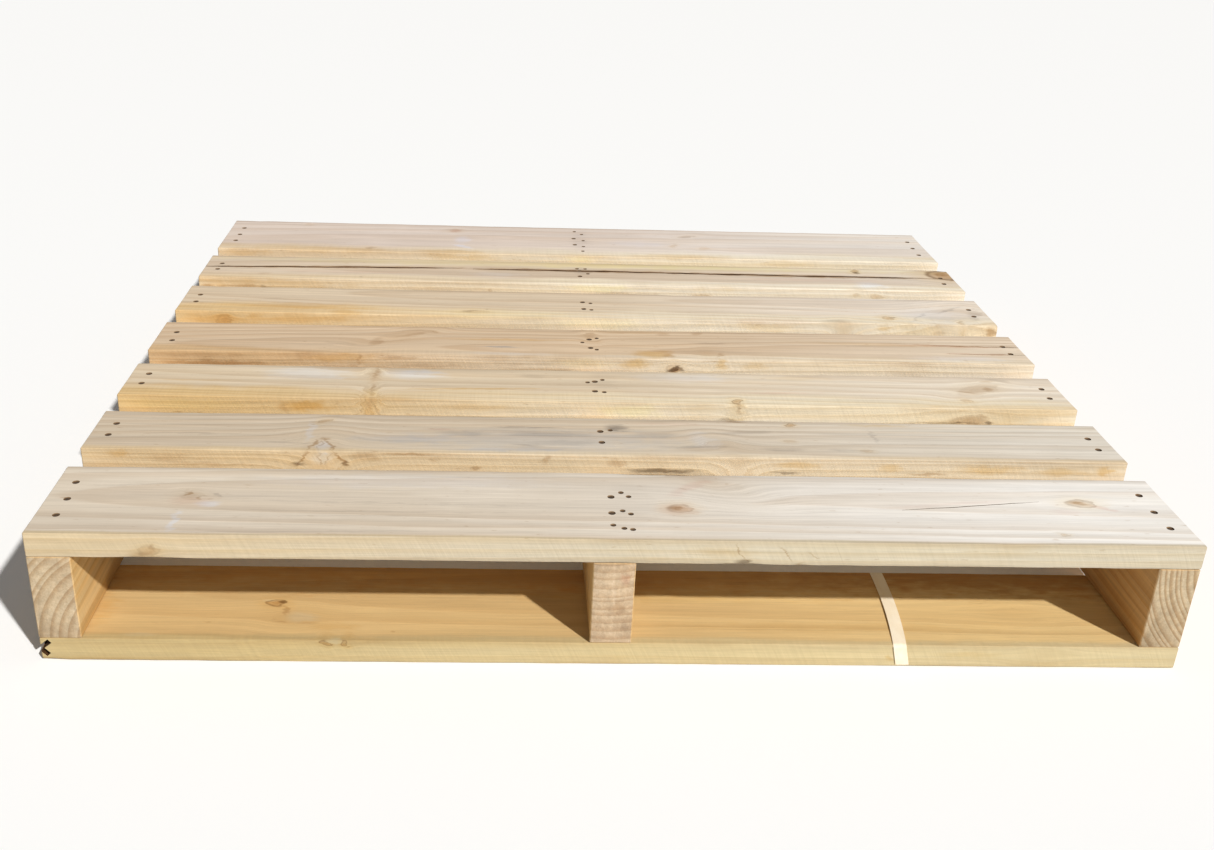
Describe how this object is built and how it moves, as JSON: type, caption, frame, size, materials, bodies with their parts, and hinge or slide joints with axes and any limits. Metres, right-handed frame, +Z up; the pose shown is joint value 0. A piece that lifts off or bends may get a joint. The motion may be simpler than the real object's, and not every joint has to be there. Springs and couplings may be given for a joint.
{
  "type": "two-way stringer pallet",
  "caption": "Two-way entry softwood stringer pallet: slatted top deck and open bottom deck nailed across solid stringers, with a plastic strap round the front bottom board.",
  "frame": {"origin": "on the ground under the middle of the pallet", "axes": "+X along the boards to the right, +Y along the stringers to the rear, +Z up"},
  "size_m": [1.1, 1.001, 0.1386],
  "materials": {
    "top_board_wood": "rough-sawn pale pine, weathered grey-cream on its top faces",
    "bottom_board_wood": "rough-sawn yellow pine",
    "stringer_wood": "rough-sawn pine with open end grain",
    "nail_steel": "dull dark bright-drawn steel, slightly rusted",
    "strap_plastic": "translucent white polypropylene strapping, satin"
  },
  "bodies": {
    "root": {"bottom_board_front": "bottom_board_wood", "bottom_board_middle": "bottom_board_wood", "bottom_board_rear": "bottom_board_wood", "nail_1_centre_1": "nail_steel", "nail_1_centre_2": "nail_steel", "nail_1_left_1": "nail_steel", "nail_1_left_2": "nail_steel", "nail_1_left_3": "nail_steel", "nail_1_right_1": "nail_steel", "nail_1_right_2": "nail_steel", "nail_1_right_3": "nail_steel", "nail_2_centre_1": "nail_steel", "nail_2_centre_2": "nail_steel", "nail_2_left_1": "nail_steel", "nail_2_left_2": "nail_steel", "nail_2_right_1": "nail_steel", "nail_2_right_2": "nail_steel", "nail_3_centre_1": "nail_steel", "nail_3_centre_2": "nail_steel", "nail_3_left_1": "nail_steel", "nail_3_left_2": "nail_steel", "nail_3_right_1": "nail_steel", "nail_3_right_2": "nail_steel", "nail_4_centre_1": "nail_steel", "nail_4_centre_2": "nail_steel", "nail_4_left_1": "nail_steel", "nail_4_left_2": "nail_steel", "nail_4_right_1": "nail_steel", "nail_4_right_2": "nail_steel", "nail_5_centre_1": "nail_steel", "nail_5_centre_2": "nail_steel", "nail_5_left_1": "nail_steel", "nail_5_left_2": "nail_steel", "nail_5_right_1": "nail_steel", "nail_5_right_2": "nail_steel", "nail_6_centre_1": "nail_steel", "nail_6_centre_2": "nail_steel", "nail_6_left_1": "nail_steel", "nail_6_left_2": "nail_steel", "nail_6_right_1": "nail_steel", "nail_6_right_2": "nail_steel", "nail_7_centre_1": "nail_steel", "nail_7_centre_2": "nail_steel", "nail_7_left_1": "nail_steel", "nail_7_left_2": "nail_steel", "nail_7_left_3": "nail_steel", "nail_7_right_1": "nail_steel", "nail_7_right_2": "nail_steel", "nail_7_right_3": "nail_steel", "strap": "strap_plastic", "stringer_centre": "stringer_wood", "stringer_left": "stringer_wood", "stringer_right": "stringer_wood", "top_board_1": "top_board_wood", "top_board_2": "top_board_wood", "top_board_3": "top_board_wood", "top_board_4": "top_board_wood", "top_board_5": "top_board_wood", "top_board_6": "top_board_wood", "top_board_7": "top_board_wood"}
  },
  "joints": []
}
